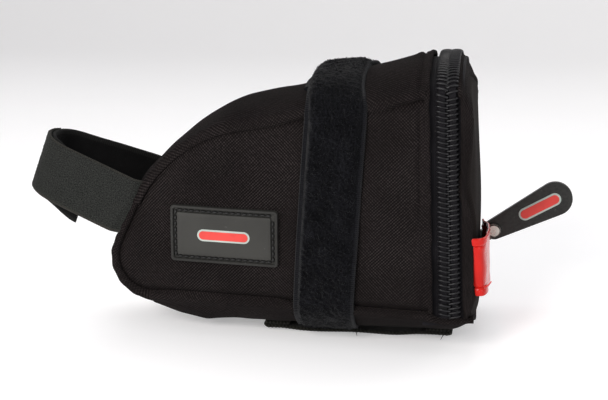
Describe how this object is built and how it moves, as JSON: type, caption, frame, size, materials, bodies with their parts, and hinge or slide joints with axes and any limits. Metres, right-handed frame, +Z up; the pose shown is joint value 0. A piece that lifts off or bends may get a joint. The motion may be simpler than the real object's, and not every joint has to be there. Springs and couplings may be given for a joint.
{
  "type": "saddle bag",
  "caption": "Wedge-shaped bicycle saddle bag with a zipped rear lid, a strap round its middle for the saddle rails and a strap for the seat post.",
  "frame": {"origin": "underside of the keeper that the bag stands on, under the middle of the main strap", "axes": "+X to the rear, towards the zipped lid, -Y to the rider's left, +Z up"},
  "size_m": [0.2308, 0.0801, 0.1178],
  "materials": {
    "coated_fabric": "coated ripstop weave, satin",
    "rear_fabric": "smooth coated fabric, satin",
    "foam": "closed-cell foam, matte",
    "binding": "woven binding tape",
    "board": "plain sheet",
    "zip_tape": "woven zip tape",
    "zip_coil": "nylon coil",
    "nickel": "bright nickel plate",
    "slider_paint": "black enamel",
    "badge_rubber": "moulded soft rubber",
    "tab_rubber": "moulded rubber",
    "red_mark": "moulded colour",
    "red_vinyl": "glossy vinyl",
    "strap_pile": "looped pile with woven selvedges",
    "keeper_webbing": "ribbed webbing",
    "band_pile": "looped pile tape",
    "band_hook": "hook tape"
  },
  "bodies": {
    "bag": {"left_side_panel": "coated_fabric", "right_side_panel": "coated_fabric", "top_panel": "coated_fabric", "nose_panel": "coated_fabric", "bottom_panel": "coated_fabric", "left_side_foam": "foam", "right_side_foam": "foam", "left_seam_binding": "binding", "right_seam_binding": "binding", "bottom_board": "board", "body_zip_tape": "zip_tape", "body_zip_coil": "zip_coil", "zip_end_stops": "nickel", "lid_fold_roll": "binding", "badge": "badge_rubber", "badge_mark": "red_mark", "main_strap_right": "strap_pile", "strap_keeper": "keeper_webbing"},
    "lid": {"lid_border": "coated_fabric", "lid_floor": "coated_fabric", "rear_panel": "rear_fabric", "lid_board": "board", "lid_zip_tape": "zip_tape", "lid_zip_coil": "zip_coil", "light_loop": "red_vinyl"},
    "slider": {"slider_body": "slider_paint", "swivel_pin": "nickel"},
    "puller": {"puller_link": "nickel"},
    "pull_tab": {"pull_tab": "tab_rubber", "tab_rivet": "nickel", "tab_mark": "red_mark"},
    "strap_flap": {"main_strap_left": "strap_pile"},
    "band_left": {"seatpost_band_left": "band_pile"},
    "band_right": {"seatpost_band_right": "band_hook"}
  },
  "joints": [
    {"name": "lid_open", "type": "hinge", "parent": "bag", "child": "lid", "pos_m": [0.04881, 0, 0.0054], "axis": [0, 1, 0], "range_deg": [0, 75]},
    {"name": "zip_slide", "type": "slide", "parent": "bag", "child": "slider", "axis": [-0.0349, 0, 0.9994], "range_m": [0, 0.0601]},
    {"name": "puller_swing", "type": "hinge", "parent": "slider", "child": "puller", "pos_m": [0.04815, 0.0383, 0.02448], "axis": [0, 1, 0], "range_deg": [-60, 115]},
    {"name": "tab_swivel", "type": "hinge", "parent": "puller", "child": "pull_tab", "pos_m": [0.06425, 0.0395, 0.03359], "axis": [0, 1, 0], "range_deg": [-60, 60]},
    {"name": "main_strap_open", "type": "hinge", "parent": "bag", "child": "strap_flap", "pos_m": [-0.00248, -0.03324, 0.02107], "axis": [0.9939, -0.1101, 0.0059], "range_deg": [0, 90]},
    {"name": "seatpost_left_open", "type": "hinge", "parent": "bag", "child": "band_left", "pos_m": [-0.08233, -0.02465, 0.05312], "axis": [0.342, 0, 0.9397], "range_deg": [0, 80]},
    {"name": "seatpost_right_open", "type": "hinge", "parent": "bag", "child": "band_right", "pos_m": [-0.08241, 0.02463, 0.05315], "axis": [0.342, 0, 0.9397], "range_deg": [-40.1, 0]}
  ],
  "couplings": [
    {"joint": "zip_slide", "follows": "lid_open", "m_per_rad": 0.0458},
    {"joint": "seatpost_right_open", "follows": "seatpost_left_open", "ratio": -0.5}
  ]
}
